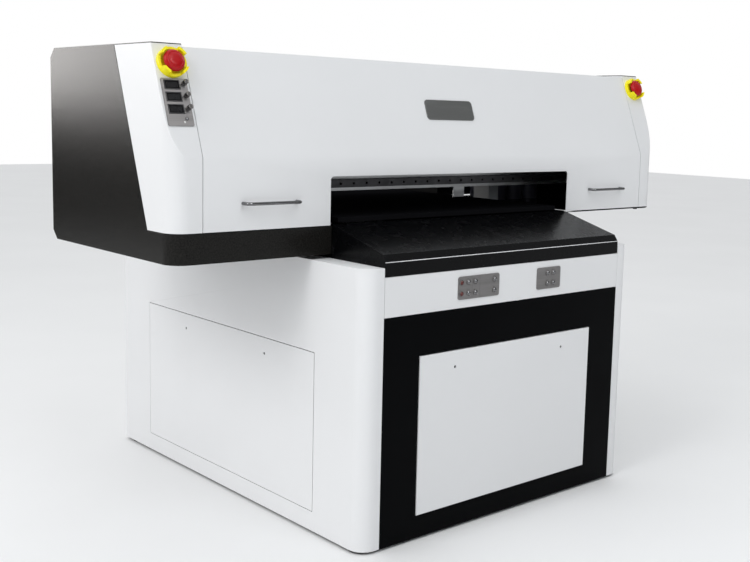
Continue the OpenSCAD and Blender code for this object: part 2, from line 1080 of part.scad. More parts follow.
module lift_screw() {
    color("silver")
        translate([0, lift_y, beam_z + 15])
            cylinder(h = bracket_z + 8 - beam_z - 15 - gap, r = screw_r);
}

module y_screw() {
    color("silver")
        translate([0, frame_y - tube - motor - gap, bed_screw_z])
            rotate([90, 0, 0])
                cylinder(h = 2 * (frame_y - tube) - motor - 2 * gap, r = screw_r);
}

module capping_station() {
    y0 = carriage_f + 12;
    base = tub_z + sheet;
    head_low = head_z - lift_down;
    color("dimgray") {
        slab(park_x - 90, park_x + 90, y0, y0 + 72, base, base + 50);
        for (dx = [-60, 0, 60])
            slab(park_x + dx - 20, park_x + dx + 20, y0 + 6, y0 + 66, base + 49, head_low - 3);
    }
}

module ink_bottles() {
    color("darkslateblue")
        for (i = [0 : 2], j = [0, 1])
            translate([hood_x - 102 - i * 66, upright_y + upright_d + 45 + j * 72, cover_z - seam]) {
                cylinder(h = 120, r = 28);
                cylinder(h = 150, r = 14);
            }
}

module electronics_box() {
    box_x = bay_x - 74;
    color("lightslategray") {
        slab(-box_x, box_x, frame_y - tube - 204, frame_y - tube - 14, frame_z + tube + 10,
            frame_h - tube - 54);
        inlet_place() {
            linear_extrude(proud)
                rounded_rect(inlet_w, inlet_h, 4);
            translate([0, 0, -28])
                linear_extrude(29)
                    square([inlet_w - 9, inlet_h - 9], center = true);
        }
    }
}

module bed_plate() {
    color("black")
        slab(-bed_x, bed_x, bed_f, bed_b, bed_z, bed_top);
}

module bed_saddle() {
    block_w = rail_w + 24;
    color("silver")
        difference() {
            union() {
                slab(-saddle_x, saddle_x, saddle_f, saddle_b, saddle_z, saddle_z + saddle_t);
                both_sides()
                    for (y = [saddle_f + 20, saddle_b - 80])
                        slab(-rail_x - block_w / 2, -rail_x + block_w / 2, y, y + 60,
                            frame_h + 5, saddle_z);
                for (x = [-saddle_x, -saddle_x / 2, 0, saddle_x / 2, saddle_x])
                    slab(x * 0.96 - 5, x * 0.96 + 5, saddle_f, saddle_b, saddle_z + saddle_t, bed_z);
                slab(-22, 22, saddle_f + 140, saddle_f + 190, bed_screw_z - 18, saddle_z);
            }
            both_sides()
                slab(-rail_x - rail_w / 2 - gap, -rail_x + rail_w / 2 + gap, saddle_f - 1,
                    saddle_b + 1, frame_h, frame_h + rail_h + gap);
            translate([0, saddle_b, bed_screw_z])
                rotate([90, 0, 0])
                    cylinder(h = saddle_b - saddle_f, r = nut_r);
        }
}

module beam() {
    wall = 6;
    lift_x = bay_x + 2 + upright_w / 2;
    nut_z = beam_z + 52;
    color("silver")
        difference() {
            union() {
                difference() {
                    slab(-beam_x, beam_x, beam_f, beam_y, beam_z, beam_z + beam_h);
                    slab(-beam_x - 1, beam_x + 1, beam_f + wall, beam_y - wall, beam_z + wall,
                        beam_z + beam_h - wall);
                }
                both_sides()
                    slab(-lift_x - 18, -lift_x + 18, beam_y - 1, upright_y - 6, beam_z + 17,
                        beam_z + 77);
                slab(-25, 25, beam_y - 1, beam_y + 32, nut_z, nut_z + 30);
                slab(probe_x - probe_w / 2, probe_x + probe_w / 2, beam_f + 6, beam_f + 9,
                    beam_z - probe_drop, beam_z + 1);
                slab(probe_x - probe_w / 2, probe_x + probe_w / 2, beam_f + 6, beam_f + 40,
                    beam_z - 3, beam_z + 1);
                slab(-pulley_x - 24, -beam_x + 40, beam_f - 4, beam_f + 2, pulley_z - 22,
                    pulley_z + 22);
                translate([-pulley_x, beam_f, pulley_z])
                    rotate([90, 0, 0])
                        cylinder(h = beam_f - belt_y + 3, r = 4);
            }
            both_sides()
                slab(-lift_x - rail_w / 2 - gap, -lift_x + rail_w / 2 + gap, upright_y - 12 - gap,
                    upright_y, beam_z, beam_z + beam_h);
            translate([0, lift_y, nut_z - 1])
                cylinder(h = 32, r = nut_r);
        }
}

module x_rail() {
    half = beam_x - 6;
    count = floor((2 * half - 24) / rail_pitch);
    color("dimgray")
        difference() {
            slab(-half, half, x_rail_f, beam_f, x_rail_z, x_rail_z + rail_w);
            for (i = [0 : count])
                translate([(i - count / 2) * rail_pitch, x_rail_f + 8, x_rail_z + rail_w / 2])
                    rotate([90, 0, 0])
                        cylinder(h = 10, r = 3.2, $fn = 24);
        }
}

module belt_outline(r) {
    for (s = [-1, 1])
        translate([s * pulley_x, 0])
            circle(r);
    square([2 * pulley_x, 2 * r], center = true);
}

module x_belt() {
    color("black")
        translate([0, belt_y + belt_w, pulley_z])
            rotate([90, 0, 0])
                linear_extrude(belt_w)
                    difference() {
                        belt_outline(pulley_r + 2);
                        belt_outline(pulley_r + 0.1);
                    }
}

// A belt pulley with two flanges, at the given side of the beam
module pulley(side) {
    color("silver")
        translate([side * pulley_x, belt_y + belt_w + 0.3, pulley_z])
            rotate([90, 0, 0])
                difference() {
                    union() {
                        cylinder(h = belt_w + 0.6, r = pulley_r);
                        translate([0, 0, -1.4])
                            cylinder(h = 1.4, r = pulley_r + 3);
                        translate([0, 0, belt_w + 0.6])
                            cylinder(h = 1.4, r = pulley_r + 3);
                    }
                    translate([0, 0, -3])
                        cylinder(h = belt_w + 8, r = 4.05);
                }
}

module x_motor() {
    color("black") {
        slab(beam_x - 40, pulley_x + 32, beam_f - 4, beam_f, pulley_z - 32, pulley_z + 32);
        slab(pulley_x - motor / 2, pulley_x + motor / 2, beam_f, beam_f + motor,
            pulley_z - motor / 2, pulley_z + motor / 2);
        translate([pulley_x, beam_f - 3, pulley_z])
            rotate([90, 0, 0])
                cylinder(h = beam_f - belt_y, r = 4);
    }
}

module carriage_body() {
    half = carriage_w / 2;
    top = body_z + carriage_h;
    nose = max(body_z + 4, crease_z - lift_up - 8);
    back = plate_y - 2;
    lean_y = carriage_f + (top - nose) * tan(lean) + 2;
    color("black")
        translate([park_x, 0, 0]) {
            difference() {
                along_x(-half, half)
                    polygon([
                        [carriage_f, body_z],
                        [carriage_f, nose],
                        [lean_y, top],
                        [back, top],
                        [back, body_z]
                    ]);
                along_x(-half + 4, half - 4)
                    polygon([
                        [carriage_f + 4, body_z + 6],
                        [carriage_f + 4, nose],
                        [lean_y + 2, top - 4],
                        [back - 4, top - 4],
                        [back - 4, body_z + 6]
                    ]);
                slab(-half + 12, half - 12, back - 5, back + 1, body_z + 20, top - 12);
            }
            slab(-half + 10, half - 10, back, plate_y + 6, body_z, body_z + 12);
            slab(-half + 10, half - 10, plate_y, plate_y + 6, body_z, pulley_z - 34);
            difference() {
                slab(-16, 16, plate_y, belt_y + belt_w, pulley_z - 36, pulley_z - 4);
                slab(-17, 17, belt_y - gap, belt_y + belt_w + 1, pulley_z - pulley_r - 2 - gap,
                    pulley_z - pulley_r + gap);
            }
            difference() {
                slab(-50, 50, plate_y + 5, beam_f - 4, x_rail_z - 9, x_rail_z + rail_w + 9);
                slab(-51, 51, x_rail_f - gap, beam_f, x_rail_z - gap, x_rail_z + rail_w + gap);
            }
        }
}

module print_heads() {
    y0 = carriage_f + 20;
    color("silver")
        for (dx = [-60, 0, 60])
            slab(park_x + dx - 16, park_x + dx + 16, y0, y0 + 56, head_z, body_z);
}

module uv_lamp() {
    x0 = park_x + carriage_w / 2;
    y0 = carriage_f + 14;
    color("gray")
        difference() {
            slab(x0, x0 + lamp_w, y0, y0 + 68, head_z + 3, head_z + 100);
            for (i = [0 : 8])
                slab(x0 - 1, x0 + lamp_w + 1, y0 - 1, y0 + 8, head_z + 25 + i * 8,
                    head_z + 28 + i * 8);
        }
}

levelling_feet();
base_frame();
side_panel_left();
side_panel_right();
access_panels();
front_frame();
control_fascia();
front_apron();
rear_panel();
rear_fence();
panel_screws();
control_plates();
gauge_displays();
indicator_lamps();
switch_bodies();
end_cap_left();
end_cap_right();
side_shell_left();
side_shell_right();
rear_cover();
hinge_pins();
estop_guards();
gantry_frame();
guide_rails();
axis_motors();
capping_station();
ink_bottles();
electronics_box();
lid_panel();
lid_handles();
badge_plate();
bed_plate();
bed_saddle();
beam();
x_rail();
x_belt();
x_motor();
carriage_body();
print_heads();
uv_lamp();
y_screw();
lift_screw();
pulley(1);  // drive_pulley
pulley(-1);  // idler_pulley
estop_button(-1);  // estop_left
estop_button(1);  // estop_right
gauge_knob(0);  // gauge_knob_1
gauge_knob(1);  // gauge_knob_2
gauge_knob(2);  // gauge_knob_3
gauge_button();
button(0);  // button_1
button(1);  // button_2
button(2);  // button_3
button(3);  // button_4
button(4);  // button_5
button(5);  // button_6
button(6);  // button_7
button(7);  // button_8
button(8);  // button_9
button(9);  // button_10
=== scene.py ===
"""Looks for the flatbed UV printer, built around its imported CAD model. Metres, Z up, -Y is the front."""

import json
import math

import bmesh
import bpy
from mathutils import Matrix, Vector


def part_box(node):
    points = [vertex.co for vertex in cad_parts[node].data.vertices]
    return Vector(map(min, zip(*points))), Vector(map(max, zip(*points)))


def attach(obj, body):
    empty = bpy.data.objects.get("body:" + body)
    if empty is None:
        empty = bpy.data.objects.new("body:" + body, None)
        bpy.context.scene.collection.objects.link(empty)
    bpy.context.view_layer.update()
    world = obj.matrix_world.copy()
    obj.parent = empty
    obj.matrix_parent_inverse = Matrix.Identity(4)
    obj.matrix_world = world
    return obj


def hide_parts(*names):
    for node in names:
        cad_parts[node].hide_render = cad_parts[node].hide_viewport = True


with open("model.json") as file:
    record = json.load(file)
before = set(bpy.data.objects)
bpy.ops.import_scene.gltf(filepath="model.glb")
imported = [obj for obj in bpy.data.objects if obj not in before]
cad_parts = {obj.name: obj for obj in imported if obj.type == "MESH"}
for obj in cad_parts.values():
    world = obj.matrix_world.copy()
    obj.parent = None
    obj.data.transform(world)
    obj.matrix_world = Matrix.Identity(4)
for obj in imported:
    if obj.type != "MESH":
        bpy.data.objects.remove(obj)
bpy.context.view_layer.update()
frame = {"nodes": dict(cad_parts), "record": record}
nodes = frame["nodes"]

MM = 0.001
APRON_FACE = 29 * MM  # height of the apron's upright front face
BEVEL_STEPS = 2


# Camera -------------------------------------------------------------------------------

CAMERA_AT = Vector((-1.7374, -2.1290, 0.8996))
CAMERA_YAW, CAMERA_PITCH, CAMERA_ROLL = (math.radians(a) for a in (42.11, -7.44, 1.54))
SENSOR = 36  # mm
FOCAL_SHARE = 1.4253  # focal length over the sensor's width
SHIFT = (-0.0627, -0.0350)
NEAREST, FARTHEST = 0.05, 100


def make_camera():
    """A camera at the photograph's viewpoint."""
    cy, sy = math.cos(CAMERA_YAW), math.sin(CAMERA_YAW)
    forward = Vector((sy * math.cos(CAMERA_PITCH), cy * math.cos(CAMERA_PITCH), math.sin(CAMERA_PITCH)))
    right = Vector((cy, -sy, 0))
    up = right.cross(forward)
    c, s = math.cos(CAMERA_ROLL), math.sin(CAMERA_ROLL)
    right, up = right * c + up * s, up * c - right * s
    data = bpy.data.cameras.new("camera")
    data.sensor_width = SENSOR
    data.lens = FOCAL_SHARE * SENSOR
    data.shift_x, data.shift_y = SHIFT
    data.clip_start, data.clip_end = NEAREST, FARTHEST
    camera = bpy.data.objects.new("camera", data)
    camera.matrix_world = Matrix.Translation(CAMERA_AT) @ Matrix(
        (right, up, -forward)).transposed().to_4x4()
    bpy.context.scene.collection.objects.link(camera)
    bpy.context.scene.camera = camera


# Materials ----------------------------------------------------------------------------

MIX_SHARE, MIX_FROM, MIX_TO, MIXED = 0, 6, 7, 2  # sockets of a color Mix node
NOISE_LOW, NOISE_HIGH = 0.3, 0.7  # the range that most of a noise lies in


class Shader:
    """A principled material and a few ways to add nodes to it."""

    def __init__(self, name, color, roughness, metallic=0.0, **sockets):
        self.material = bpy.data.materials.new(name)
        self.material.use_nodes = True
        self.tree = self.material.node_tree
        self.bsdf = self.tree.nodes["Principled BSDF"]
        self.color = color
        self.set("Base Color", (*color, 1))
        self.set("Roughness", roughness)
        self.set("Metallic", metallic)
        for key, value in sockets.items():
            self.set(key.replace("_", " "), value)

    def set(self, socket, value):
        self.bsdf.inputs[socket].default_value = value

    def node(self, kind, **settings):
        made = self.tree.nodes.new(kind)
        for key, value in settings.items():
            if hasattr(made, key):
                setattr(made, key, value)
            else:
                made.inputs[key.replace("_", " ")].default_value = value
        return made

    def link(self, output, socket):
        self.tree.links.new(output, socket)

    def noise(self, scale, stretch=(1, 1, 1), detail=3.0, roughness=0.5):
        coords = self.node("ShaderNodeTexCoord")
        mapping = self.node("ShaderNodeMapping", Scale=stretch)
        self.link(coords.outputs["Object"], mapping.inputs["Vector"])
        noise = self.node("ShaderNodeTexNoise", Scale=scale, Detail=detail, Roughness=roughness)
        self.link(mapping.outputs["Vector"], noise.inputs["Vector"])
        return noise.outputs["Fac"]

    def coordinate(self, axis):
        """The object's own X, Y or Z."""
        coords = self.node("ShaderNodeTexCoord")
        axes = self.node("ShaderNodeSeparateXYZ")
        self.link(coords.outputs["Object"], axes.inputs["Vector"])
        return axes.outputs[axis]

    def calculate(self, operation, *values):
        """A math node fed with numbers and with other nodes' outputs."""
        made = self.node("ShaderNodeMath", operation=operation)
        for socket, value in zip(made.inputs, values):
            if isinstance(value, (int, float)):
                socket.default_value = value
            else:
                self.link(value, socket)
        return made.outputs["Value"]

    def spread(self, noise, low, high):
        """Maps a noise's middle range onto low to high."""
        ranged = self.node("ShaderNodeMapRange", From_Min=NOISE_LOW, From_Max=NOISE_HIGH,
                           To_Min=low, To_Max=high)
        self.link(noise, ranged.inputs["Value"])
        return ranged.outputs["Result"]

    def blend(self, share, other):
        """Mixes the base color with another one, by a share from 0 to 1."""
        mix = self.node("ShaderNodeMix", data_type="RGBA")
        mix.inputs[MIX_FROM].default_value = (*self.color, 1)
        mix.inputs[MIX_TO].default_value = (*other, 1)
        self.link(share, mix.inputs[MIX_SHARE])
        self.link(mix.outputs[MIXED], self.bsdf.inputs["Base Color"])

    def vary_color(self, noise, other, share=1.0):
        self.blend(self.spread(noise, 0, share), other)

    def vary_roughness(self, noise, low, high):
        self.link(self.spread(noise, low, high), self.bsdf.inputs["Roughness"])

    def bump(self, height, strength, distance):
        bump = self.node("ShaderNodeBump", Strength=strength, Distance=distance)
        self.link(height, bump.inputs["Height"])
        self.link(bump.outputs["Normal"], self.bsdf.inputs["Normal"])


def darker(color, share):
    return tuple(share * c for c in color)


def powder_coat(name, color, roughness, grain, depth, other=None, **sockets):
    """Powder coat: orange peel, a little unevenness in gloss, and slow variation in tone."""
    shader = Shader(name, color, roughness, **sockets)
    shader.bump(shader.noise(grain, detail=2), strength=0.35, distance=depth)
    shader.vary_roughness(shader.noise(9, detail=4), roughness - 0.05, roughness + 0.06)
    shader.vary_color(shader.noise(2.3, detail=4), other or darker(color, 0.96), share=0.8)
    return shader.material


def brushed(name, color, roughness, stretch):
    """Metal brushed along the axis that stretch makes small."""
    shader = Shader(name, color, roughness, metallic=1.0)
    lines = shader.noise(60, stretch=stretch, detail=6, roughness=0.7)
    shader.bump(lines, strength=0.25, distance=0.0004)
    shader.vary_roughness(lines, roughness - 0.1, roughness + 0.12)
    shader.vary_color(lines, darker(color, 0.75), share=0.7)
    return shader.material


def plain_metal(name, color, roughness, grain=140):
    shader = Shader(name, color, roughness, metallic=1.0)
    spots = shader.noise(grain, detail=5)
    shader.bump(spots, strength=0.12, distance=0.0003)
    shader.vary_roughness(shader.noise(30, detail=4), roughness - 0.06, roughness + 0.1)
    shader.vary_color(spots, darker(color, 0.85), share=0.6)
    return shader.material


def plastic(name, color, roughness, grain=600, depth=0.0001, **sockets):
    shader = Shader(name, color, roughness, **sockets)
    shader.bump(shader.noise(grain, detail=2), strength=0.25, distance=depth)
    shader.vary_roughness(shader.noise(25, detail=4), roughness - 0.05, roughness + 0.07)
    shader.vary_color(shader.noise(12, detail=3), darker(color, 0.9), share=0.6)
    return shader.material


CLEAR_LENS = (0.82, 0.82, 0.80)


def lamp_lens():
    """Deep red lenses on the fascia and a clear one on the gauge plate above."""
    shader = Shader("lamp_red", (0.09, 0.014, 0.012), 0.12)
    shader.bump(shader.noise(300, detail=2), strength=0.1, distance=0.0001)
    shader.vary_roughness(shader.noise(120, detail=3), 0.09, 0.17)
    low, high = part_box("indicator_lamps")
    shader.blend(shader.calculate("GREATER_THAN", shader.coordinate("Z"), (low.z + high.z) / 2), CLEAR_LENS)
    return shader.material


def texture_black():
    """Fine-textured black powder coat: dense grains that catch the light, with even gloss."""
    shader = Shader("texture_black", (0.003, 0.003, 0.0028), 0.26, Specular_IOR_Level=0.14)
    grains = shader.noise(330, detail=4, roughness=0.7)
    shader.bump(grains, strength=0.38, distance=0.0004)
    shader.vary_roughness(shader.noise(160, detail=4), 0.17, 0.24)
    shader.vary_color(grains, (0.020, 0.019, 0.017), share=0.9)
    return shader.material


# Painted highlight: a near-white line painted along the apron's lower crease, standing in for the reflection
# on the bend
PAINTED_HIGHLIGHT_COLOR = (0.93, 0.93, 0.95)
HIGHLIGHT_HALF_WIDTH = 0.7 * MM  # half the height of the painted highlight line on the apron
HIGHLIGHT_DEPTH = 1.5 * MM  # how far in from the apron's front it reaches


def apron_black():
    """Satin black with a painted highlight line along the lower crease of the folded front."""
    shader = Shader("apron_black", (0.0014, 0.0015, 0.0019), 0.26, Specular_IOR_Level=0.12)
    shader.bump(shader.noise(700, detail=2), strength=0.3, distance=0.0001)
    shader.vary_roughness(shader.noise(40, detail=4), 0.24, 0.29)
    low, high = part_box("front_apron")
    crease = shader.calculate("COMPARE", shader.coordinate("Z"), low.z + APRON_FACE, HIGHLIGHT_HALF_WIDTH)
    front = shader.calculate("LESS_THAN", shader.coordinate("Y"), low.y + HIGHLIGHT_DEPTH)
    line = shader.calculate("MULTIPLY", crease, front)
    # the painted highlight on the crease, its brightness varied by a noise
    highlight_strength = shader.spread(shader.noise(14, detail=3), 0.7, 1.0)
    shader.blend(shader.calculate("MULTIPLY", line, highlight_strength), PAINTED_HIGHLIGHT_COLOR)
    return shader.material


# How a noise is stretched to brush a metal along an axis
ALONG_X, COARSE_ALONG_X, ALONG_Y = (0.04, 1, 1), (0.05, 1, 1), (1, 0.06, 1)

MATERIALS = {
    "white_paint": powder_coat("white_paint", (0.80, 0.803, 0.81), 0.36, grain=420, depth=0.00012,
                               Specular_IOR_Level=0.06),
    "black_paint": powder_coat("black_paint", (0.0012, 0.0014, 0.0018), 0.42, grain=500, depth=0.00010,
                               other=(0.0018, 0.002, 0.0024), Specular_IOR_Level=0.03),
    "texture_black": texture_black(),
    "apron_black": apron_black(),
    "frame_steel": powder_coat("frame_steel", (0.16, 0.17, 0.18), 0.5, grain=300, depth=0.0002),
    "brushed_plate": brushed("brushed_plate", (0.285, 0.276, 0.274), 0.44, ALONG_X),
    "badge_metal": brushed("badge_metal", (0.24, 0.245, 0.24), 0.42, ALONG_X),
    "machined_alu": brushed("machined_alu", (0.60, 0.61, 0.62), 0.36, COARSE_ALONG_X),
    "bed_alu": powder_coat("bed_alu", (0.006, 0.006, 0.007), 0.7, grain=250, depth=0.0001,
                           other=(0.010, 0.010, 0.011), Specular_IOR_Level=0.0),
    "ground_steel": brushed("ground_steel", (0.56, 0.56, 0.57), 0.28, ALONG_Y),
    "dark_steel": plain_metal("dark_steel", (0.10, 0.10, 0.105), 0.45),
    "chrome_trim": plain_metal("chrome_trim", (0.20, 0.20, 0.205), 0.14, grain=400),
    "motor_black": powder_coat("motor_black", (0.015, 0.015, 0.015), 0.5, grain=350, depth=0.0002),
    "black_plastic": plastic("black_plastic", (0.022, 0.022, 0.024), 0.5),
    "grey_plastic": plastic("grey_plastic", (0.20, 0.21, 0.22), 0.5),
    "yellow_plastic": plastic("yellow_plastic", (0.97, 0.86, 0.009), 0.32, Specular_IOR_Level=0.3),
    "red_plastic": plastic("red_plastic", (0.45, 0.005, 0.008), 0.28, Specular_IOR_Level=0.25),
    "lamp_red": lamp_lens(),
    "display_black": plastic("display_black", (0.002, 0.002, 0.0025), 0.25, Specular_IOR_Level=0.15),
    "belt_rubber": plastic("belt_rubber", (0.02, 0.02, 0.02), 0.75, grain=900, depth=0.0004),
    "foot_rubber": plastic("foot_rubber", (0.025, 0.025, 0.025), 0.8, grain=500, depth=0.0005),
    "ink_bottle": plastic("ink_bottle", (0.10, 0.10, 0.14), 0.4),
    "unlit_bar": plastic("unlit_bar", (0.035, 0.036, 0.04), 0.4),
    "knob_metal": plain_metal("knob_metal", (0.26, 0.25, 0.245), 0.24, grain=300),
    "zinc_screw": plain_metal("zinc_screw", (0.12, 0.12, 0.125), 0.4),
}


def paint(obj, material):
    obj.data.materials.clear()
    obj.data.materials.append(material)


# CAD nodes: soft edges and finishes ---------------------------------------------------

SLOT_OF = {p["node"]: p["material_slot"] for p in frame["record"]["subparts"]}
OWN_FINISH = {"front_apron": "apron_black", "badge_plate": "badge_metal", "switch_bodies": "brushed_plate"}
EDGE_MM = {"chrome_trim": 0.25, "brushed_plate": 0.3, "yellow_plastic": 0.7, "red_plastic": 0.8,
           "display_black": 0.3, "foot_rubber": 1.0, "frame_steel": 1.5, "motor_black": 1.5}
USUAL_EDGE_MM = 0.5
SHARP = math.radians(28)  # edges at a wider angle than this are rounded
FLAT = math.radians(0.6)  # faces at a smaller angle than this are one flat face
SAME_POINT = 0.01 * MM  # points nearer than this are joined
FACE_WEIGHT = 80  # how much a large face outweighs a small one in shading


def shade_smooth(obj):
    for polygon in obj.data.polygons:
        polygon.use_smooth = True


def add_bevel(obj, width):
    bevel = obj.modifiers.new("bevel", "BEVEL")
    bevel.width = width
    bevel.segments = BEVEL_STEPS
    bevel.limit_method = "ANGLE"
    bevel.angle_limit = SHARP
    bevel.harden_normals = True
    return bevel


def soften(obj, width):
    """Rounds the edges of a CAD node without changing its mesh."""
    shade_smooth(obj)
    weld = obj.modifiers.new("weld", "WELD")
    weld.merge_threshold = SAME_POINT
    flats = obj.modifiers.new("flats", "DECIMATE")
    flats.decimate_type = "DISSOLVE"
    flats.angle_limit = FLAT
    add_bevel(obj, width).miter_outer = "MITER_ARC"
    normals = obj.modifiers.new("normals", "WEIGHTED_NORMAL")
    normals.keep_sharp = True
    normals.weight = FACE_WEIGHT


def finish_cad():
    for name, obj in nodes.items():
        slot = SLOT_OF[name]
        paint(obj, MATERIALS[OWN_FINISH.get(name, slot)])
        soften(obj, EDGE_MM.get(slot, USUAL_EDGE_MM) * MM)


# Detailed pieces on the slanted face --------------------------------------------------

JOINT = {j["name"]: j for j in frame["record"]["behaviour"]["joints"]}
OUT = Vector(JOINT["gauge_knob_1_turn"]["axis"]).normalized()
UP = OUT.cross(Vector((1, 0, 0))).normalized()
UP = UP if UP.z > 0 else -UP


def slant_frame(at):
    """A matrix with its origin at a point, X across, Y up the slant and Z out of it."""
    return Matrix.Translation(at) @ Matrix((Vector((1, 0, 0)), UP, OUT)).transposed().to_4x4()


def to_object(made, name, material, body, stands_for=()):
    bmesh.ops.recalc_face_normals(made, faces=made.faces)
    mesh = bpy.data.meshes.new(name)
    made.to_mesh(mesh)
    made.free()
    piece = bpy.data.objects.new(name, mesh)
    bpy.context.scene.collection.objects.link(piece)
    paint(piece, MATERIALS[material])
    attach(piece, body)
    if stands_for:
        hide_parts(*stands_for)
    return piece


def smooth(piece, width):
    """Rounded edges on a piece made here."""
    shade_smooth(piece)
    add_bevel(piece, width)


def add_block(made, matrix, x, y, z):
    """A box given by its ranges in the frame of a matrix."""
    corners = [made.verts.new(matrix @ Vector((cx, cy, cz))) for cz in z for cy in y for cx in x]
    for face in ((0, 2, 3, 1), (4, 5, 7, 6), (0, 1, 5, 4), (2, 6, 7, 3), (0, 4, 6, 2), (1, 3, 7, 5)):
        made.faces.new([corners[i] for i in face])


def add_lathe(made, matrix, outline, steps, flutes=0, depth=0.0, fluted=()):
    """Turns an outline of (radius, height) points; flutes cut into the rings named in fluted."""
    rings = []
    for index, (radius, height) in enumerate(outline):
        ring = []
        for step in range(steps):
            angle = 2 * math.pi * step / steps
            r = radius
            if flutes and index in fluted:
                r -= depth * (0.5 - 0.5 * math.cos(flutes * angle))
            ring.append(made.verts.new(matrix @ Vector((r * math.cos(angle), r * math.sin(angle), height))))
        rings.append(ring)
    for low, high in zip(rings, rings[1:]):
        for i in range(steps):
            j = (i + 1) % steps
            made.faces.new((low[i], low[j], high[j], high[i]))
    made.faces.new(list(reversed(rings[0])))
    made.faces.new(rings[-1])


SURFACE_BAND = 0.2 * MM  # points this near the highest one are on the front
BEZEL_RIM, BEZEL_DEPTH, BEZEL_EDGE = 1.9 * MM, 4.0 * MM, 0.3 * MM
WINDOW_SINK = 1.1 * MM
DIGITS_INSET = (2.2 * BEZEL_RIM, 1.9 * BEZEL_RIM)  # from the display's ends and from its top and bottom


def make_displays():
    """Each gauge display: a bezel, a sunk window, and the unlit bars of its digits."""
    node = "gauge_displays"
    points = [v.co.copy() for v in nodes[node].data.vertices]
    top = max(p.dot(OUT) for p in points)
    front = [p for p in points if p.dot(OUT) > top - SURFACE_BAND]
    heights = sorted({round(p.dot(UP), 4) for p in front})
    x0, x1 = min(p.x for p in front), max(p.x for p in front)
    rim, deep = BEZEL_RIM, (-BEZEL_DEPTH, 0)
    bezels, windows, bars = bmesh.new(), bmesh.new(), bmesh.new()
    for low, high in zip(heights[0::2], heights[1::2]):
        middle = Vector(((x0 + x1) / 2, 0, 0)) + UP * ((low + high) / 2) + OUT * top
        at = slant_frame(middle)
        w, h = (x1 - x0) / 2, (high - low) / 2
        add_block(bezels, at, (-w, w), (h - rim, h), deep)
        add_block(bezels, at, (-w, w), (-h, -h + rim), deep)
        add_block(bezels, at, (-w, -w + rim), (-h + rim, h - rim), deep)
        add_block(bezels, at, (w - rim, w), (-h + rim, h - rim), deep)
        add_block(windows, at, (-w + rim, w - rim), (-h + rim, h - rim), (-BEZEL_DEPTH, -WINDOW_SINK))
        add_digits(bars, at, w - DIGITS_INSET[0], h - DIGITS_INSET[1], -WINDOW_SINK)
    smooth(to_object(bezels, "display_bezels", "black_plastic", "body", [node]), BEZEL_EDGE)
    to_object(windows, "display_windows", "display_black", "body", [node])
    to_object(bars, "display_bars", "unlit_bar", "body", [node])


DIGITS = 4
BAR_SHARE = 0.62  # length of a flat bar over the digits' pitch
ROW_SHARE = 0.72  # height of the outer rows over the digits' half height
UPRIGHT_SHARES = (0.09, 0.63)  # where the upright bars start and end over that half height
BAR_WIDTH, BAR_HEIGHT = 0.55 * MM, 0.08 * MM


def add_digits(made, at, w, h, z):
    """Seven unlit bars for each digit, standing a hair over the window."""
    pitch = 2 * w / DIGITS
    bar, half = BAR_SHARE * pitch, BAR_WIDTH / 2
    lift = (z, z + BAR_HEIGHT)
    for digit in range(DIGITS):
        cx = -w + (digit + 0.5) * pitch
        for cy in (-h * ROW_SHARE, 0, h * ROW_SHARE):
            add_block(made, at, (cx - bar / 2, cx + bar / 2), (cy - half, cy + half), lift)
        for sx in (-1, 1):
            for sy in (-1, 1):
                x = cx + sx * bar / 2
                y = sorted(sy * h * share for share in UPRIGHT_SHARES)
                add_block(made, at, (x - half, x + half), y, lift)


KNOB_CAP = 15 * MM  # length of the cap, with its collar
STEM_SHARE, COLLAR_SHARE = 0.6, 0.82  # radius of the stem and the collar over the knob's
KNOB_STEPS, KNOB_FLUTES, FLUTE_DEPTH = 96, 24, 0.35 * MM
FLUTED_RINGS = (5, 6)  # the rows of the outline that are cut
POINTER_HALF_WIDTH, POINTER_FROM, POINTER_INSET = 0.35 * MM, 1.0 * MM, 1.7 * MM
POINTER_DEPTHS = (0.5 * MM, 0.05 * MM)  # under the knob's top
KNOB_EDGE = 0.12 * MM


def make_knobs():
    """Turned knobs with fine grip flutes and a pointer line."""
    for index in (1, 2, 3):
        node = "gauge_knob_%d" % index
        points = [v.co for v in nodes[node].data.vertices]
        axis_at = Vector(JOINT[node + "_turn"]["pos_m"])
        reach = [(p - axis_at).dot(OUT) for p in points]
        radius = max(((p - axis_at) - OUT * (p - axis_at).dot(OUT)).length for p in points)
        top = max(reach)
        base = top - KNOB_CAP
        outline = [  # radius and height of each ring
            (STEM_SHARE * radius, min(reach)),
            (STEM_SHARE * radius, base),
            (COLLAR_SHARE * radius, base),
            (COLLAR_SHARE * radius, base + 2.6 * MM),
            (radius - 0.5 * MM, base + 3.0 * MM),
            (radius, base + 3.6 * MM),
            (radius, top - 1.2 * MM),
            (radius - 0.7 * MM, top - 0.3 * MM),
            (radius - 1.3 * MM, top),
            (radius - 1.6 * MM, top - 0.3 * MM),
        ]
        made = bmesh.new()
        at = slant_frame(axis_at)
        add_lathe(made, at, outline, KNOB_STEPS, KNOB_FLUTES, FLUTE_DEPTH, FLUTED_RINGS)
        add_block(made, at, (-POINTER_HALF_WIDTH, POINTER_HALF_WIDTH), (POINTER_FROM, radius - POINTER_INSET),
                  [top - depth for depth in POINTER_DEPTHS])
        knob = to_object(made, "knob_cap_%d" % index, "knob_metal", "knob_body_%d" % index,
                         [node])
        smooth(knob, KNOB_EDGE)


HEAD_STEPS = 72
HEAD_STEM = 8 * MM  # radius of the stem under a head
HEAD_RIM = 10 * MM  # from a head's top down to the lower part of its rim
CROWN_BAND = 1.0 * MM  # points this near the top are on the crown


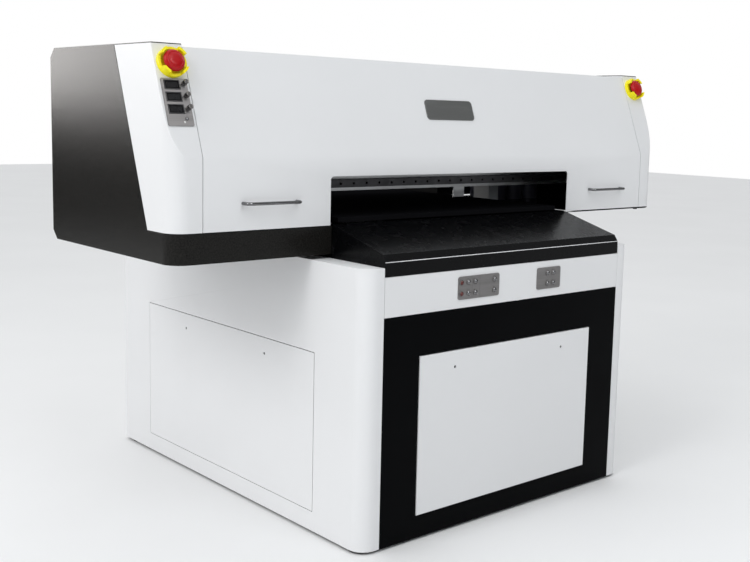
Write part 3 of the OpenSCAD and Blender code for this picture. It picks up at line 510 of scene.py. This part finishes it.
def make_heads():
    """Emergency stop heads: a flat-topped mushroom with a rolled rim and a sunk ring."""
    for side in ("left", "right"):
        node = "estop_" + side
        points = [v.co for v in nodes[node].data.vertices]
        low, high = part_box(node)
        heights = [p.dot(OUT) for p in points]
        top, bottom = max(heights), min(heights)
        crown = [p for p in points if p.dot(OUT) > top - CROWN_BAND]
        middle = sum(crown, Vector()) / len(crown)
        at = slant_frame(middle + OUT * (top - middle.dot(OUT)))
        radius = (high.x - low.x) / 2
        rim = HEAD_RIM
        outline = [  # radius and height of each ring
            (HEAD_STEM, bottom - top),
            (HEAD_STEM, -rim - 4 * MM),
            (radius - 5 * MM, -rim - 4 * MM),
            (radius - 1.2 * MM, -rim - 0.8 * MM),
            (radius, -rim + 0.6 * MM),
            (radius, -rim + 3.2 * MM),
            (radius - 1.4 * MM, -rim + 6.0 * MM),
            (radius - 4.6 * MM, -rim + 8.2 * MM),
            (radius - 6.2 * MM, -rim + 8.8 * MM),
            (radius - 6.8 * MM, -rim + 8.3 * MM),
            (radius - 7.6 * MM, -rim + 8.4 * MM),
            (radius - 8.4 * MM, -rim + 9.2 * MM),
            (0.35 * radius, -0.15 * MM),
            (0.05 * radius, 0),
        ]
        made = bmesh.new()
        add_lathe(made, at, outline, HEAD_STEPS)
        head = to_object(made, "stop_head_" + side, "red_plastic", "estop_%s_body" % side,
                         [node])
        shade_smooth(head)


# Stage --------------------------------------------------------------------------------

def make_sheet(name, half_size, segments):
    """A flat square sheet, facing up."""
    mesh = bpy.data.meshes.new(name)
    made = bmesh.new()
    bmesh.ops.create_grid(made, x_segments=segments, y_segments=segments, size=half_size)
    made.to_mesh(mesh)
    made.free()
    sheet = bpy.data.objects.new(name, mesh)
    bpy.context.scene.collection.objects.link(sheet)
    return sheet


FLOOR_REACH = 14  # metres from the middle to each side


def make_stage():
    floor = make_sheet("floor", FLOOR_REACH, 2)
    shader = Shader("floor", (0.86, 0.86, 0.86), 0.7)
    shader.vary_color(shader.noise(1.5), (0.84, 0.84, 0.84))
    paint(floor, shader.material)


def area_light(name, at, towards, size, watts, color=(1, 1, 1)):
    data = bpy.data.lights.new(name, "AREA")
    data.shape = "RECTANGLE"
    data.size, data.size_y = size
    data.energy = watts
    data.color = color
    light = bpy.data.objects.new(name, data)
    light.location = at
    light.rotation_mode = "QUATERNION"
    light.rotation_quaternion = (Vector(towards) - Vector(at)).to_track_quat("-Z", "Y")
    bpy.context.scene.collection.objects.link(light)


SIDE_SHARE, HEIGHT_SHARE = -0.45, 0.9  # how much left and up count beside back
DARK_AT, BRIGHT_AT = -1.0, 0.9  # where that sum starts and stops brightening
DIM, BRIGHT, BACKDROP = 0.12, 0.98, 1.0
STUDIO_COLOR = (0.97, 0.985, 1.0, 1)


def make_world():
    """A pale backdrop, and a studio that is bright at the back and above and darker in front."""
    world = bpy.data.worlds.new("world")
    bpy.context.scene.world = world
    world.use_nodes = True
    tree = world.node_tree

    def made(kind, **inputs):
        node = tree.nodes.new(kind)
        for key, value in inputs.items():
            node.inputs[key.replace("_", " ")].default_value = value
        return node

    def add_scaled(value, scale, to):
        node = made("ShaderNodeMath")
        node.operation = "MULTIPLY_ADD"
        node.inputs[1].default_value = scale
        tree.links.new(value, node.inputs[0])
        tree.links.new(to, node.inputs[2])
        return node.outputs["Value"]

    coords = made("ShaderNodeTexCoord")
    axes = made("ShaderNodeSeparateXYZ")
    tree.links.new(coords.outputs["Generated"], axes.inputs["Vector"])
    side = add_scaled(axes.outputs["X"], SIDE_SHARE, axes.outputs["Y"])
    height = add_scaled(axes.outputs["Z"], HEIGHT_SHARE, side)
    ramp = made("ShaderNodeMapRange", From_Min=DARK_AT, From_Max=BRIGHT_AT, To_Min=DIM, To_Max=BRIGHT)
    ramp.interpolation_type = "SMOOTHSTEP"
    tree.links.new(height, ramp.inputs["Value"])
    studio = tree.nodes["Background"]
    studio.inputs["Color"].default_value = STUDIO_COLOR
    tree.links.new(ramp.outputs["Result"], studio.inputs["Strength"])
    backdrop = made("ShaderNodeBackground", Color=(1, 1, 1, 1), Strength=BACKDROP)
    paths = made("ShaderNodeLightPath")
    mix = made("ShaderNodeMixShader")
    tree.links.new(paths.outputs["Is Camera Ray"], mix.inputs["Fac"])
    tree.links.new(studio.outputs["Background"], mix.inputs[1])
    tree.links.new(backdrop.outputs["Background"], mix.inputs[2])
    tree.links.new(mix.outputs["Shader"], tree.nodes["World Output"].inputs["Surface"])


GLOW_COLOR = (1.0, 0.975, 0.955, 1)


def standing_card(name, at, size, color, strength):
    """An upright card that only reflections see: a bright one glows, a black one is a flag."""
    card = make_sheet(name, 0.5, 1)
    card.scale = (*size, 1)
    card.location = at
    card.rotation_mode = "QUATERNION"
    card.rotation_quaternion = (Vector((0, 0, at[2])) - Vector(at)).to_track_quat("Z", "Y")
    shader = Shader(name, color, 1.0, Specular_IOR_Level=0.0)
    shader.set("Emission Color", GLOW_COLOR)
    shader.set("Emission Strength", strength)
    paint(card, shader.material)
    card.visible_camera = card.visible_diffuse = card.visible_shadow = False


CARD_SPOT = (-2.75, 4.35)  # behind the machine on the left, where the black side's reflection points


def make_light():
    """Lamps by place, aim, size, watts and color; cards by place, size, color and strength."""
    make_world()
    area_light("left", (-4.2, -0.9, 3.4), (-0.6, 0, 0.6), (1.7, 1.7), 55)
    area_light("above", (-0.6, -3.4, 4.4), (0, 0, 0.6), (3.2, 2.4), 42, (0.95, 0.98, 1.0))
    area_light("front", (-0.2, -3.1, 2.0), (0.1, 0, 0.85), (2.2, 0.9), 12, (0.92, 0.96, 1.0))
    standing_card("glow", (*CARD_SPOT, 1.98), (3.6, 2.1), (0, 0, 0), 6.8)
    standing_card("glint", (-0.55, -2.85, 2.75), (1.0, 0.8), (0, 0, 0), 13)
    standing_card("flag", (*CARD_SPOT, 0.46), (3.6, 0.88), (0.01, 0.01, 0.01), 0.0)


make_camera()
finish_cad()
make_displays()
make_knobs()
make_heads()
make_stage()
make_light()
bpy.context.scene.view_settings.view_transform = "Standard"
